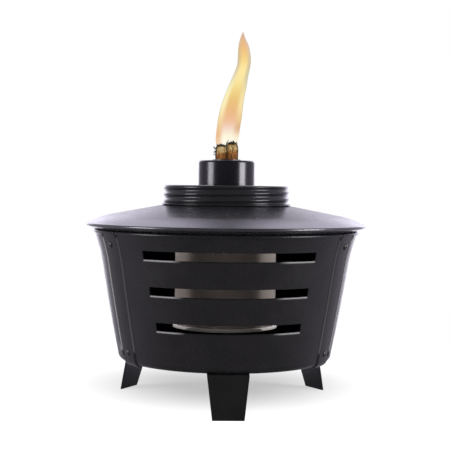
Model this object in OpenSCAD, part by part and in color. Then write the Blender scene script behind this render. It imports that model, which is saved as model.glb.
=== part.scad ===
// Tabletop oil torch: a riveted sheet-metal bowl on three legs, with a domed cover,
// a fuel canister that hangs in the cover's hole, a screw cap and a braided wick.
// Millimetres, +Z up. The origin is on the ground, on the bowl's axis. The front is -Y.

/* [Bowl] */
// Height of the bowl's underside above the ground
leg_h = 30.5; // [20:0.1:45]
// Outer radius of the wall just above its foot corner
foot_r = 77; // [73:0.1:80]
// Outer radius of the wall where the flare starts
waist_r = 88.4; // [86:0.1:91]
// How far the wall bellies out between foot and flare
belly = 0.3; // [0:0.1:2]
// Radius of the foot corner, on the outside
corner_r = 5; // [3:0.5:8]
// Height from the foot corner to where the flare starts
straight_h = 61.8; // [58:0.1:75]
// Height of the flared top of the wall
flare_h = 24; // [20:0.5:34]
// How far the flare turns out beyond the line of the wall
flare_out = 2.2; // [1:0.1:5]
// Thickness of the bowl's sheet
wall_t = 1; // [0.8:0.1:1.4]
// Radius of the rolled lip
lip_r = 1.3; // [1:0.1:1.8]
// Width of the flange that each panel turns in under the floor
flange_w = 17; // [14:0.5:22]

/* [Seams] */
// Width of the lap where one panel covers the next
lap_w = 17; // [12:0.5:22]
// Width of the step where a panel's edge is joggled out
joggle_w = 2; // [1.5:0.1:3]
// Height of the lower seam rivets above the bowl's underside
low_rivet_h = 9; // [7:0.5:14]
// Distance of the upper seam rivets below the lip
high_rivet_drop = 8; // [6:0.5:14]
// Radius of a rivet's shank
shank_r = 1.5; // [1.2:0.1:1.8]
// Radius of a rivet's head
rivet_head_r = 2.6; // [2.2:0.1:3]
// Height of a rivet's domed head
rivet_head_h = 1.1; // [0.8:0.1:1.5]

/* [Air slots] */
// Height of one slot
slot_h = 6; // [4:0.5:9]
// Height of the lowest slot's middle above the bowl's underside
slot_low_h = 30.1; // [20:0.1:36]
// Spacing of the slots
slot_pitch = 24.05; // [16:0.05:25]
// Half of the lowest slot's angle
slot_low_angle = 36.5; // [20:0.5:40]
// Half of the highest slot's angle
slot_high_angle = 39.7; // [20:0.1:43]
// Number of slots in each panel
slot_count = 3; // [1:1:3]

/* [Legs] */
// Thickness of a leg's plate
leg_t = 1.2; // [1:0.1:2]
// Width of a leg at the bowl
leg_top_w = 28.3; // [24:0.1:34]
// Width of a leg at the ground
leg_foot_w = 21.4; // [14:0.1:24]
// How far the legs' bend lies inside the foot of the wall
leg_inset = 2.4; // [0:0.1:4]
// How far a leg splays outwards on its way down
leg_splay = 8; // [4:0.1:14]
// Spacing of a leg's two rivets
leg_rivet_gap = 15; // [10:0.5:18]

/* [Cover] */
// How far the brim's edge reaches beyond the middle of the bowl's lip
brim_out = 6.5; // [4.5:0.5:12]
// Radius of the brim's rolled edge
brim_bead_r = 1.2; // [0.8:0.1:1.4]
// Slope of the brim's turned-under flange
brim_slope = 0.4; // [0.3:0.05:0.6]
// Slope of the cover's cone
cover_slope = 0.19; // [0.15:0.005:0.23]
// Extra drop of the cover towards its brim
cover_drop = 2.6; // [1.5:0.1:4]
// Width of the ring, inside the brim's edge, over which it drops
cover_turn_w = 17; // [14:0.5:30]
// Radius of the flat seat around the hole
seat_r = 45; // [44:0.5:48]
// Thickness of the cover's sheet
cover_t = 1; // [0.8:0.1:1.2]
// Depth of the lip that centres the cover in the bowl
centring_h = 4; // [2:0.5:6]
// Depth of the turned-down edge of the hole
hole_edge_h = 3; // [2:0.5:5]

/* [Canister] */
// Radius of the canister's body
can_r = 36.5; // [34:0.1:37]
// Length of the canister below its shoulder
can_l = 85.8; // [70:0.1:95]
// Thickness of the canister's tin
can_t = 0.5; // [0.4:0.05:0.8]
// How far the double seam stands out from the body
seam_out = 1.6; // [1.2:0.1:2]
// Height of the double seam
seam_h = 3.4; // [2.5:0.1:4.5]
// Outer radius of the neck
neck_r = 43; // [42:0.1:43.3]
// Height of the neck above the cover
neck_h = 12; // [10:0.5:16]
// Thickness of the neck's sheet
neck_t = 0.7; // [0.5:0.05:1]
// Overlap of the neck's inner skirt with the body
neck_skirt_h = 6; // [4:0.5:10]

/* [Cap] */
// Radius of the cap over its ribs
cap_r = 45.5; // [45.2:0.1:46.5]
// Depth of the groove between two ribs
rib_depth = 1.1; // [0.8:0.1:1.2]
// Spacing of the ribs
rib_pitch = 4.7; // [4:0.1:5.5]
// Thickness of the cap's sheet
cap_t = 0.6; // [0.5:0.05:0.7]
// How far the cap's lower lip stands out from the ribs
cap_lip_out = 1.2; // [0.6:0.1:1.6]
// Height of the cap's lower lip
cap_lip_h = 1.1; // [0.8:0.1:1.5]
// Radius of the rounding at the cap's top edge
cap_edge_r = 1.2; // [0.8:0.1:1.8]
// Thickness of the gasket
gasket_t = 1.2; // [0.8:0.1:2]

/* [Burner] */
// Radius of the flame guard
guard_r = 20.5; // [18:0.1:24]
// Height of the flame guard
guard_h = 17.9; // [12:0.1:24]
// Thickness of the guard's sheet
guard_t = 0.8; // [0.6:0.1:1.2]
// Rounding of the guard's top edge
guard_edge_r = 1.8; // [1.2:0.1:3]
// Radius of the wick
wick_r = 8.4; // [6:0.1:9]
// How far the wick stands above the guard
wick_up = 13.8; // [8:0.1:20]
// Length of the wick below the cap's lid
wick_down = 84; // [60:0.5:84]
// Thickness of the wick tube
tube_t = 0.7; // [0.5:0.05:1]
// Length of the wick tube below the cap's lid
tube_down = 24; // [16:0.5:40]
// How far the tube's rolled rim reaches over the guard
rim_w = 1.2; // [0.8:0.1:2]
// Width of the tube's nut across its flats
nut_w = 28; // [26:0.5:34]
// Height of the tube's nut
nut_h = 4; // [3:0.5:6]
// Radius of the tube's washer
washer_r = 17; // [15:0.5:19]
// Thickness of the tube's washer
washer_t = 1; // [0.6:0.1:1.6]

/* [Clearances] */
// Gap between pieces that rest on each other
seat_gap = 0.1; // [0.05:0.05:0.3]
// Radial gap around the wick and the rivets' shanks
slide_gap = 0.08; // [0.05:0.01:0.1]
// Gap between the canister's seam and the cover's hole
drop_in_gap = 0.6; // [0.4:0.1:1]
// Gap between the cap's lower lip and the cover
cap_gap = 0.3; // [0.2:0.1:0.6]

/* [Hidden] */
$fn = 96;

// Directions around the axis, in degrees from the front, positive to the right
FRONT = 0;
PANEL_ANGLE = 120;
SEAM_LEFT = -PANEL_ANGLE / 2;
SEAM_RIGHT = PANEL_ANGLE / 2;
SEAM_REAR = 180;

// Heights of the bowl
base_z = leg_h;
foot_z = base_z + corner_r;
waist_z = foot_z + straight_h;
lip_z = waist_z + flare_h;
wall_steps = 8;
flare_steps = 8;
arc_steps = 5;
lip_facets = 32;
// Facets of the cover and the cap
broad_facets = 128;

// Outer radius of the wall at height z, with the belly and the flare
function wall_line(z) = foot_r + (waist_r - foot_r) * (z - foot_z) / straight_h;
function wall_belly(z) = 4 * belly * (z - foot_z) * (waist_z - z) / pow(straight_h, 2);
waist_slope = (waist_r - foot_r) / straight_h - 4 * belly / straight_h;
function wall_flare(z) = waist_r + waist_slope * (z - waist_z)
                         + flare_out * pow((z - waist_z) / flare_h, 2);
function wall_r(z) = z <= waist_z ? wall_line(z) + wall_belly(z) : wall_flare(z);
// How steeply the wall leans out at height z, as an angle from the vertical
function wall_lean(z) = atan(wall_r(z + 0.5) - wall_r(z - 0.5));
lip_mid_r = wall_r(lip_z) - wall_t / 2;

// Laps and rivets
lap_step = wall_t + seat_gap;
lap_top_z = lip_z - lip_r - seat_gap;
lap_angle = lap_w / waist_r * 180 / PI;
joggle_angle = joggle_w / waist_r * 180 / PI;
// Where the step starts on the foot corner's curve, below the horizontal
joggle_low_angle = -75;
edge_gap_angle = 3 * seat_gap / foot_r * 180 / PI;
low_rivet_z = base_z + low_rivet_h;
high_rivet_z = lip_z - high_rivet_drop;

// Floor and legs
flange_in_r = foot_r - corner_r - flange_w;
floor_r = foot_r - corner_r - seat_gap;
floor_z = base_z + wall_t + seat_gap;
tab_top_z = base_z - seat_gap;
leg_bend_r = foot_r - leg_inset;
leg_foot_r = leg_bend_r + leg_splay;
function leg_out_r(z) = leg_foot_r - leg_splay * z / tab_top_z;
leg_rivet_r = flange_in_r + flange_w / 2;

// Cover
brim_mid_r = lip_mid_r + brim_out - brim_bead_r;
function brim_under_z(r) = lip_z + (lip_r + seat_gap) * sqrt(1 + pow(brim_slope, 2))
                          + brim_slope * (r - lip_mid_r);
brim_z = brim_under_z(brim_mid_r) + brim_bead_r;
function cover_fall(r) = r <= seat_r ? 0
    : cover_slope * (r - seat_r) + cover_drop * pow(max(0, r - brim_mid_r + cover_turn_w) / cover_turn_w, 2);
crown_z = brim_z + brim_bead_r + cover_fall(brim_mid_r);
function cover_z(r) = crown_z - cover_fall(r);
hole_r = can_r + seam_out + drop_in_gap;
centring_r = wall_r(lip_z - centring_h) - wall_t - 2 * seat_gap - drop_in_gap;
cover_steps = 12;
bead_steps = 8;

// Canister
shoulder_z = crown_z + seat_gap;
can_bottom_z = shoulder_z - can_l;
neck_top_z = shoulder_z + neck_h;
neck_in_r = neck_r - neck_t;

// Cap
gasket_z = neck_top_z + seat_gap;
lid_z = gasket_z + gasket_t + seat_gap;
lid_top_z = lid_z + cap_t;
cap_bottom_z = crown_z + cap_gap;
rib_steps = 8;
cap_mid_r = cap_r - rib_depth / 2;
function rib_r(z) = cap_mid_r - rib_depth / 2 * cos(360 * (z - cap_bottom_z - cap_lip_h) / rib_pitch);

// Burner
tube_in_r = wick_r + slide_gap;
tube_r = tube_in_r + tube_t;
guard_z = lid_top_z + seat_gap;
guard_top_z = guard_z + guard_h;
rim_z = guard_top_z + seat_gap;
washer_top_z = lid_z - seat_gap;
nut_top_z = washer_top_z - washer_t - seat_gap;
wick_top_z = guard_top_z + wick_up;
wick_bottom_z = lid_z - wick_down;

ENAMEL = "#2b292c";
DARK_PLATE = "#1c1b1d";
RIVET = "#6d6b70";
TIN = "#8d857c";
SEAL = "#3a3230";
WICK = "#a8814d";

// Turns its children from the front to an angle around the axis
module around(angle) {
    rotate([0, 0, angle]) children();
}

// A band of a profile revolved from one angle to another, both measured from the front
module sector(from, to) {
    rotate([0, 0, from - 90]) rotate_extrude(angle = to - from) children();
}

// Side view of the wall's outside, moved outwards by `shift`: round the foot corner, then up to top_z
function side_points(shift, from_angle, top_z) = concat(
    [for (i = [0 : arc_steps]) let (a = from_angle * (1 - i / arc_steps))
        [foot_r - corner_r + (corner_r + shift) * cos(a), foot_z + (corner_r + shift) * sin(a)]],
    [for (i = [1 : wall_steps + flare_steps])
        let (z = i <= wall_steps ? foot_z + straight_h * i / wall_steps
                                 : waist_z + (top_z - waist_z) * (i - wall_steps) / flare_steps)
        [wall_r(z) + shift, z]]);
function reversed(list) = [for (i = [len(list) - 1 : -1 : 0]) list[i]];

module band(inner_shift, outer_shift, from_angle, top_z) {
    polygon(concat(side_points(outer_shift, from_angle, top_z),
                   reversed(side_points(inner_shift, from_angle, top_z))));
}

module wall_profile() {
    polygon(concat([[flange_in_r, base_z]], side_points(0, -90, lip_z),
                   reversed(side_points(-wall_t, -90, lip_z)), [[flange_in_r, base_z + wall_t]]));
}

module lip_profile() {
    translate([lip_mid_r, lip_z]) circle(r = lip_r, $fn = lip_facets);
}

// The joggled edge, which lies over the next panel
module lap_profile() {
    band(lap_step - wall_t, lap_step, -90, lap_top_z);
}

// The step between the wall and its joggled edge, from the middle of one to the middle of the other
module joggle_profile() {
    band(-wall_t / 2, lap_step - wall_t / 2, joggle_low_angle, lap_top_z - wall_t);
}

// Air slots around one panel's middle
module slots() {
    for (i = [0 : slot_count - 1]) {
        z = base_z + slot_low_h + slot_pitch * i;
        share = slot_count > 1 ? i / (slot_count - 1) : 0;
        half = slot_low_angle + (slot_high_angle - slot_low_angle) * share;
        sector(-half, half)
            translate([foot_r - 3 * wall_t, z - slot_h / 2])
                square([lip_mid_r - foot_r + 6 * wall_t, slot_h]);
    }
}

// Places its children on a seam's rivet, with +Z out of the wall and z = 0 on the inner sheet's outside
module on_seam(seam, z) {
    around(seam) translate([0, -wall_r(z), z]) rotate([90 + wall_lean(z), 0, 0]) children();
}

module seam_holes(seam) {
    for (z = [low_rivet_z, high_rivet_z])
        on_seam(seam, z) translate([0, 0, -4 * wall_t])
            cylinder(r = shank_r + slide_gap, h = 8 * wall_t);
}

// Holes for one leg's rivets, through all the sheets at the floor
module leg_rivet_holes() {
    for (side = [-1, 1])
        translate([side * leg_rivet_gap / 2, -leg_rivet_r, tab_top_z - 2 * leg_t])
            cylinder(r = shank_r + slide_gap, h = 2 * leg_t + 4 * wall_t);
}

// One wall panel around `middle`. lap_first and lap_last say which of its edges are joggled out.
module panel(middle, lap_first, lap_last) {
    half = PANEL_ANGLE / 2;
    lap_half = lap_angle / 2;
    first = lap_first ? lap_half - half : edge_gap_angle - lap_half - half;
    last = lap_last ? half - lap_half : half + lap_half - edge_gap_angle;
    inset = joggle_angle / 8;
    difference() {
        around(middle) union() {
            sector(first, last) wall_profile();
            sector(first, last) lip_profile();
            if (lap_first) {
                sector(first + inset, first + joggle_angle - inset) joggle_profile();
                sector(first - lap_angle, first + joggle_angle) lap_profile();
            }
            if (lap_last) {
                sector(last - joggle_angle + inset, last - inset) joggle_profile();
                sector(last - joggle_angle, last + lap_angle) lap_profile();
            }
        }
        around(middle) slots();
        around(middle) leg_rivet_holes();
        seam_holes(middle - half);
        seam_holes(middle + half);
    }
}

module front_panel() {
    color(ENAMEL) panel(FRONT, true, true);
}

module left_rear_panel() {
    color(ENAMEL) panel(-PANEL_ANGLE, true, false);
}

module right_rear_panel() {
    color(ENAMEL) panel(PANEL_ANGLE, false, false);
}

// A domed rivet head on z = 0
module rivet_head(r, h) {
    ball = (r * r + h * h) / (2 * h);
    intersection() {
        translate([0, 0, h - ball]) sphere(r = ball);
        cylinder(r = r, h = h);
    }
}

// The two rivets of one seam: a domed head outside, a flat upset end inside
module seam_rivets(seam) {
    inner_end_z = -wall_t - 2 * seat_gap - rivet_head_h / 2;
    for (z = [low_rivet_z, high_rivet_z])
        on_seam(seam, z) {
            translate([0, 0, lap_step + seat_gap]) rivet_head(rivet_head_r, rivet_head_h);
            translate([0, 0, inner_end_z]) cylinder(r = shank_r, h = lap_step + 2 * seat_gap - inner_end_z);
            translate([0, 0, inner_end_z]) cylinder(r = rivet_head_r - 2 * seat_gap, h = rivet_head_h / 2);
        }
}

module front_left_rivets() {
    color(RIVET) seam_rivets(SEAM_LEFT);
}

module front_right_rivets() {
    color(RIVET) seam_rivets(SEAM_RIGHT);
}

module rear_rivets() {
    color(RIVET) seam_rivets(SEAM_REAR);
}

module floor_plate() {
    color(ENAMEL) difference() {
        translate([0, 0, floor_z]) cylinder(r = floor_r, h = wall_t);
        for (a = [-PANEL_ANGLE, FRONT, PANEL_ANGLE]) around(a) leg_rivet_holes();
    }
}

// A leg: the tab under the floor and the splayed plate, bent from one strip
module leg() {
    plate_w = leg_t / cos(atan(leg_splay / tab_top_z));
    tab_z = tab_top_z - leg_t;
    bend_z = tab_top_z - leg_t / 2;
    difference() {
        intersection() {
            rotate([90, 0, -90]) translate([0, 0, -leg_top_w / 2])
                linear_extrude(height = leg_top_w)
                    polygon([[flange_in_r, tab_z], [flange_in_r, tab_top_z], [leg_bend_r - leg_t / 2, tab_top_z],
                             [leg_out_r(bend_z), bend_z], [leg_foot_r, 0], [leg_foot_r - plate_w, 0],
                             [leg_out_r(tab_z) - plate_w, tab_z]]);
            rotate([90, 0, 0]) linear_extrude(height = leg_foot_r + leg_t)
                polygon([[-leg_foot_w / 2, 0], [leg_foot_w / 2, 0], [leg_top_w / 2, tab_z],
                         [leg_top_w / 2, tab_top_z + leg_t], [-leg_top_w / 2, tab_top_z + leg_t],
                         [-leg_top_w / 2, tab_z]]);
        }
        leg_rivet_holes();
    }
}

module front_leg() {
    color(DARK_PLATE) leg();
}

module left_leg() {
    color(DARK_PLATE) around(-PANEL_ANGLE) leg();
}

module right_leg() {
    color(DARK_PLATE) around(PANEL_ANGLE) leg();
}

// One leg's two rivets, through tab, flange and floor
module leg_rivets() {
    bottom = tab_top_z - leg_t - seat_gap;
    top = floor_z + wall_t + seat_gap;
    for (side = [-1, 1])
        translate([side * leg_rivet_gap / 2, -leg_rivet_r, 0]) {
            translate([0, 0, bottom - seat_gap]) cylinder(r = shank_r, h = top - bottom + 2 * seat_gap);
            translate([0, 0, top]) rivet_head(rivet_head_r, rivet_head_h);
            translate([0, 0, bottom]) mirror([0, 0, 1]) rivet_head(rivet_head_r, rivet_head_h);
        }
}

module front_leg_rivets() {
    color(RIVET) leg_rivets();
}

module left_leg_rivets() {
    color(RIVET) around(-PANEL_ANGLE) leg_rivets();
}

module right_leg_rivets() {
    color(RIVET) around(PANEL_ANGLE) leg_rivets();
}

// Domed cover: seat, cone, brim with a rolled edge, turned-under flange and centring lip
module cover() {
    dome = [for (i = [0 : cover_steps])
        let (r = seat_r + (brim_mid_r - seat_r) * i / cover_steps) [r, cover_z(r)]];
    bead = [for (i = [1 : bead_steps - 1]) let (a = 90 - 180 * i / bead_steps)
        [brim_mid_r + brim_bead_r * cos(a), brim_z + brim_bead_r * sin(a)]];
    fold_r = brim_mid_r - 2 * brim_bead_r;
    lip_in_r = centring_r - cover_t;
    under = [for (i = [cover_steps - 1 : -1 : 0]) [dome[i][0], dome[i][1] - cover_t]];
    color(ENAMEL) rotate_extrude($fn = broad_facets)
        polygon(concat([[hole_r, crown_z - hole_edge_h], [hole_r, crown_z]], dome, bead,
                       [[brim_mid_r, brim_under_z(brim_mid_r)], [centring_r, brim_under_z(centring_r)],
                        [centring_r, lip_z - centring_h], [lip_in_r, lip_z - centring_h],
                        [lip_in_r, brim_under_z(lip_in_r) + cover_t], [fold_r, brim_under_z(fold_r) + cover_t]],
                       under, [[hole_r + cover_t, crown_z - cover_t], [hole_r + cover_t, crown_z - hole_edge_h]]));
}

module can_body() {
    color(TIN) difference() {
        translate([0, 0, can_bottom_z + seam_h]) cylinder(r = can_r, h = can_l - seam_h - seat_gap);
        translate([0, 0, can_bottom_z]) cylinder(r = can_r - can_t, h = can_l);
    }
}

// End of the canister: the seam's ring and the panel sunk inside it
module can_base() {
    seam_r = can_r + seam_out;
    panel_z = can_bottom_z + seam_h - can_t;
    color(TIN) rotate_extrude()
        polygon([[0, panel_z], [can_r - seam_out, panel_z], [can_r - seam_out, can_bottom_z],
                 [seam_r - can_t, can_bottom_z], [seam_r, can_bottom_z + can_t],
                 [seam_r, can_bottom_z + seam_h - can_t], [seam_r - can_t, can_bottom_z + seam_h - seat_gap],
                 [can_r - can_t - seat_gap, can_bottom_z + seam_h - seat_gap],
                 [can_r - can_t - seat_gap, panel_z + can_t], [0, panel_z + can_t]]);
}

// Shoulder, neck and the skirt that is rolled into the body
module can_neck() {
    skirt_r = can_r - can_t - seat_gap;
    color(TIN) rotate_extrude()
        polygon([[skirt_r - neck_t, shoulder_z - neck_skirt_h], [skirt_r, shoulder_z - neck_skirt_h],
                 [skirt_r, shoulder_z], [neck_r, shoulder_z], [neck_r, neck_top_z], [neck_in_r, neck_top_z],
                 [neck_in_r, shoulder_z + neck_t], [skirt_r - neck_t, shoulder_z + neck_t]]);
}

module cap_gasket() {
    color(SEAL) translate([0, 0, gasket_z]) difference() {
        cylinder(r = neck_r, h = gasket_t);
        translate([0, 0, -gasket_t]) cylinder(r = neck_in_r - 2 * neck_t, h = 3 * gasket_t);
    }
}

// Screw cap: rolled ribs, a lip at the bottom and a flat lid with a hole for the wick tube
module screw_cap() {
    rib_bottom_z = cap_bottom_z + cap_lip_h;
    rib_top_z = lid_top_z - cap_edge_r;
    rib_count = (rib_top_z - rib_bottom_z) / rib_pitch * rib_steps;
    ribs = [for (i = [0 : rib_count]) let (z = rib_bottom_z + i * rib_pitch / rib_steps) [rib_r(z), z]];
    edge_mid_r = rib_r(rib_top_z) - cap_edge_r;
    edge = [for (i = [0 : arc_steps]) let (a = 90 * i / arc_steps)
        [edge_mid_r + cap_edge_r * cos(a), rib_top_z + cap_edge_r * sin(a)]];
    lip_out_r = cap_r + cap_lip_out;
    hole = tube_r + slide_gap;
    color(ENAMEL) rotate_extrude($fn = broad_facets)
        polygon(concat([[cap_mid_r - rib_depth / 2 - cap_t, cap_bottom_z],
                        [lip_out_r - cap_t / 2, cap_bottom_z], [lip_out_r, cap_bottom_z + cap_t / 2],
                        [lip_out_r - cap_t / 2, cap_bottom_z + cap_t]],
                       ribs, edge, [[hole, lid_top_z], [hole, lid_z]],
                       [[edge_mid_r, lid_z]],
                       [for (p = reversed(ribs)) [p[0] - cap_t, p[1]]]));
}

module flame_guard() {
    hole = tube_r + slide_gap;
    edge_in_r = guard_edge_r - guard_t;
    outer_edge = [for (i = [0 : arc_steps]) let (a = 90 * i / arc_steps)
        [guard_r - guard_edge_r + guard_edge_r * cos(a), guard_top_z - guard_edge_r + guard_edge_r * sin(a)]];
    inner_edge = [for (i = [arc_steps : -1 : 0]) let (a = 90 * i / arc_steps)
        [guard_r - guard_edge_r + edge_in_r * cos(a), guard_top_z - guard_edge_r + edge_in_r * sin(a)]];
    color(DARK_PLATE) rotate_extrude()
        polygon(concat([[guard_r, guard_z]], outer_edge, [[hole, guard_top_z], [hole, guard_top_z - guard_t]],
                       inner_edge, [[guard_r - guard_t, guard_z]]));
}

// Ferrule that holds the wick, with a rim over the guard
module wick_tube() {
    color(RIVET) difference() {
        union() {
            translate([0, 0, lid_z - tube_down]) cylinder(r = tube_r, h = rim_z + tube_t - lid_z + tube_down);
            translate([0, 0, rim_z]) cylinder(r = tube_r + rim_w, h = tube_t);
        }
        translate([0, 0, lid_z - tube_down - tube_t]) cylinder(r = tube_in_r, h = rim_z - lid_z + tube_down + 3 * tube_t);
    }
}

module tube_washer() {
    color(SEAL) difference() {
        translate([0, 0, washer_top_z - washer_t]) cylinder(r = washer_r, h = washer_t);
        translate([0, 0, washer_top_z - 2 * washer_t]) cylinder(r = tube_r + slide_gap, h = 3 * washer_t);
    }
}

module tube_nut() {
    color(RIVET) difference() {
        translate([0, 0, nut_top_z - nut_h]) cylinder(r = nut_w / 2 / cos(30), h = nut_h, $fn = 6);
        translate([0, 0, nut_top_z - 2 * nut_h]) cylinder(r = tube_r + slide_gap, h = 3 * nut_h);
    }
}

module wick() {
    color(WICK) translate([0, 0, wick_bottom_z]) cylinder(r = wick_r, h = wick_top_z - wick_bottom_z);
}

front_panel();
left_rear_panel();
right_rear_panel();
front_left_rivets();
front_right_rivets();
rear_rivets();
floor_plate();
front_leg();
left_leg();
right_leg();
front_leg_rivets();
left_leg_rivets();
right_leg_rivets();
cover();
can_body();
can_base();
can_neck();
cap_gasket();
screw_cap();
flame_guard();
wick_tube();
tube_washer();
tube_nut();
wick();
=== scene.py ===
"""Tabletop oil torch: the looks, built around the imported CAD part. Sizes are in millimetres."""

import functools
import math
import random

import bmesh
import bpy
from mathutils import Matrix, Vector, noise

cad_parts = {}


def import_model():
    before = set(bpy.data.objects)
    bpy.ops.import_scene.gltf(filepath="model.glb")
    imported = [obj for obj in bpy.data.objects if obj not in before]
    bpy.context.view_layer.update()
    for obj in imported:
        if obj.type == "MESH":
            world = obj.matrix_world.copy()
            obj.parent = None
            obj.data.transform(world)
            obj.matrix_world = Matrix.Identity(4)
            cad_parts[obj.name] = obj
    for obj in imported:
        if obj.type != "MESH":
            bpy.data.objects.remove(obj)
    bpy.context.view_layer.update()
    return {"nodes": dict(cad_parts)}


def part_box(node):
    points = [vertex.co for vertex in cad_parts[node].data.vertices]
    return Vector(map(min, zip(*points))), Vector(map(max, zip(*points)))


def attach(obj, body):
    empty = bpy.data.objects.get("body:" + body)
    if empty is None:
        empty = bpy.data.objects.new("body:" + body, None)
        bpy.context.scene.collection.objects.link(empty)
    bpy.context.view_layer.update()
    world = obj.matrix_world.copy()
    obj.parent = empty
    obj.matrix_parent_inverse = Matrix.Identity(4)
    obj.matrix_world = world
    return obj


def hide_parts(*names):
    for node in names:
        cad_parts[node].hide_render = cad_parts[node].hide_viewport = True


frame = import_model()
MM = 0.001
scene = bpy.context.scene

# Lowest and highest corners of the CAD nodes
LOW, HIGH = {}, {}
for node in frame["nodes"]:
    low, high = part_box(node)
    LOW[node], HIGH[node] = low / MM, high / MM


# -------- sizes, as in the CAD part
SEAT_GAP = 0.1
SLIDE_GAP = 0.08

# Bowl
WALL_T = 1.0
LIP_R = 1.3
CORNER_R = 5.0
FLARE_H = 24.0
FLARE_OUT = 2.2
BELLY = 0.3
WAIST_R = 88.4
FLANGE_W = 17.0
BASE_Z = LOW["front_panel"].z
LIP_Z = HIGH["front_panel"].z - LIP_R
FOOT_R = HIGH["floor_plate"].x + SEAT_GAP + CORNER_R
FOOT_Z = BASE_Z + CORNER_R
WAIST_Z = LIP_Z - FLARE_H
STRAIGHT_H = WAIST_Z - FOOT_Z
WAIST_SLOPE = (WAIST_R - FOOT_R - 4 * BELLY) / STRAIGHT_H
WALL_LEAN = math.atan((WAIST_R - FOOT_R) / STRAIGHT_H)

# Seams
LAP_W = 17.0
JOGGLE_W = 2.0
LAP_STEP = WALL_T + SEAT_GAP
LAP_ANGLE = math.degrees(LAP_W / WAIST_R)
JOGGLE_ANGLE = math.degrees(JOGGLE_W / WAIST_R)
EDGE_GAP_ANGLE = math.degrees(3 * SEAT_GAP / FOOT_R)
SEAM_RIVET_HEIGHTS = (BASE_Z + 9, LIP_Z - 8)
SHANK_R = 1.5
RIVET_HEAD_R = 2.6
RIVET_HEAD_H = 1.1

# Air slots
SLOT_H = 6.0
SLOT_LOW_Z = BASE_Z + 30.1
SLOT_PITCH = 24.05
SLOT_HALF_ANGLES = (36.5, 38.1, 39.7)
SLOT_HEIGHTS = [SLOT_LOW_Z + SLOT_PITCH * i for i in range(3)]

# Legs
LEG_T = 1.2
LEG_TOP_W = 28.3
LEG_FOOT_W = 21.4
LEG_BEND_R = FOOT_R - 2.4
LEG_SPLAY = 8.0
LEG_RIVET_GAP = 15.0
TAB_TOP_Z = BASE_Z - SEAT_GAP
FLANGE_IN_R = FOOT_R - CORNER_R - FLANGE_W
LEG_RIVET_R = FLANGE_IN_R + FLANGE_W / 2

# Cover
BRIM_BEAD_R = 1.2
BRIM_SLOPE = 0.4
COVER_SLOPE = 0.19
COVER_DROP = 2.6
COVER_TURN_W = 17.0
COVER_T = 1.0
SEAT_R = 45.0
HOLE_EDGE_H = 3.0
BRIM_R = HIGH["cover"].x
CROWN_Z = HIGH["cover"].z
CENTRING_Z = LOW["cover"].z
BRIM_MID_R = BRIM_R - BRIM_BEAD_R

# Canister
CAN_R = HIGH["can_body"].x
CAN_T = 0.5
SEAM_R = HIGH["can_base"].x
# the bottom seam hangs lower here than in the solids, where it is 3.4 high
SEAM_H = 3.0
CAN_EXTRA = 2.6
CAN_BOTTOM_Z = LOW["can_base"].z - CAN_EXTRA
SHOULDER_Z = HIGH["can_body"].z + SEAT_GAP
NECK_R = HIGH["can_neck"].x
NECK_T = 0.7
NECK_THREAD_SHARE = 0.9
NECK_TOP_Z = HIGH["can_neck"].z
NECK_SKIRT_Z = LOW["can_neck"].z
HOLE_R = SEAM_R + 0.6

# Cap and burner
CAP_T = 0.6
RIB_DEPTH = 1.1
RIB_PITCH = 4.7
CAP_LIP_OUT = 1.2
CAP_LIP_H = 1.1
CAP_EDGE_R = 1.2
CAP_R = HIGH["screw_cap"].x - CAP_LIP_OUT
CAP_BOTTOM_Z = LOW["screw_cap"].z
LID_TOP_Z = HIGH["screw_cap"].z
CAP_MID_R = CAP_R - RIB_DEPTH / 2
GUARD_R = HIGH["flame_guard"].x
GUARD_Z = LOW["flame_guard"].z
GUARD_TOP_Z = HIGH["flame_guard"].z
GUARD_T = 0.8
GUARD_EDGE_R = 1.8
TUBE_T = 0.7
RIM_R = HIGH["wick_tube"].x
RIM_TOP_Z = HIGH["wick_tube"].z
TUBE_BOTTOM_Z = LOW["wick_tube"].z
WICK_R = HIGH["wick"].x
WICK_TOP_Z = HIGH["wick"].z
WICK_BOTTOM_Z = LOW["wick"].z
WICK_LOW_STRAND = 1.8
TUBE_R = WICK_R + SLIDE_GAP + TUBE_T

# Angles from the front, in degrees
SEAM_LEFT, SEAM_RIGHT, SEAM_REAR = -60, 60, 180
PANEL_HALF = 60

# Only in the looks
HEM_R = 0.7
HEM_SUNK = 0.2
LIP_TURN = 345
SEGMENTS = 192
COVER_SEGMENTS = 256
RIVET_SEGMENTS = 40
TUBE_SEGMENTS = 96
PANEL_EDGE_R = 0.42
PANEL_STEP = 1.2
JOGGLE_STEPS = 8
ROW_STEP = 2.5


# -------- shape helpers
def polar(radius, angle, height):
    """A point at an angle in degrees from the front (-Y), positive towards +X."""
    a = math.radians(angle)
    return Vector((radius * math.sin(a), -radius * math.cos(a), height))


def smoothstep(t):
    """Eases from 0 to 1."""
    t = max(0.0, min(1.0, t))
    return t * t * (3 - 2 * t)


def circle(count):
    """Angles evenly round a circle, in radians."""
    return [2 * math.pi * k / count for k in range(count)]


def between(start, end, count):
    """count + 1 numbers from start to end."""
    return [start + (end - start) * i / count for i in range(count + 1)]


def stations(breaks, step):
    """Numbers through all the breaks, at most a step apart."""
    out = [breaks[0]]
    for start, end in zip(breaks, breaks[1:]):
        out += between(start, end, max(1, math.ceil((end - start) / step)))[1:]
    return out


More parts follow.
